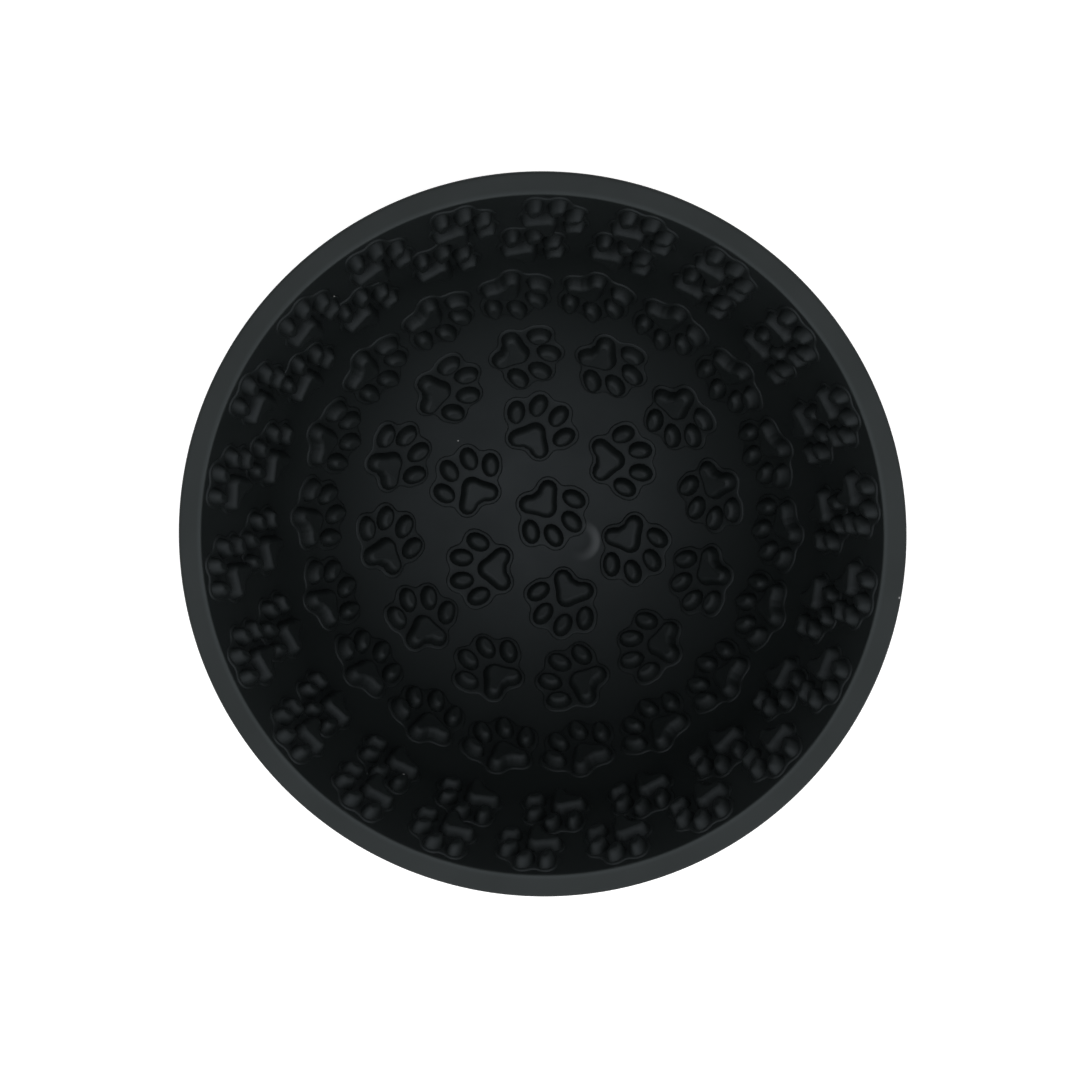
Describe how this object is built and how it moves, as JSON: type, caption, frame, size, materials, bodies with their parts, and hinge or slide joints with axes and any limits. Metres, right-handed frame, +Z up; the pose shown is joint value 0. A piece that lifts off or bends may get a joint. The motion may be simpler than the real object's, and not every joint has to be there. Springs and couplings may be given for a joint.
{
  "type": "wobble slow feeder bowl",
  "caption": "Round-bottomed double-walled pet bowl that rocks on a weighted base, lined with soft rubber whose raised paw prints slow eating.",
  "frame": {"origin": "middle of the grip foot's flat face, on the table", "axes": "+Z up along the bowl's axis through the mouth; +X and +Y across the mouth, +Y toward the top of the picture"},
  "size_m": [0.165, 0.165, 0.0882],
  "materials": {
    "liner_rubber": "satin",
    "bowl_plastic": "matte",
    "gasket_rubber": "matte",
    "shell_plastic": "satin",
    "weight_iron": "cast",
    "ring_rubber": "matte",
    "washer_steel": "zinc plated",
    "screw_steel": "zinc plated",
    "foot_rubber": "matte"
  },
  "bodies": {
    "root": {"lick_liner": "liner_rubber", "inner_bowl": "bowl_plastic", "rim_gasket": "gasket_rubber", "rocker_shell": "shell_plastic", "counterweight": "weight_iron", "anti_rattle_ring": "ring_rubber", "weight_washers": "washer_steel", "weight_screws": "screw_steel", "grip_foot": "foot_rubber"}
  },
  "joints": []
}
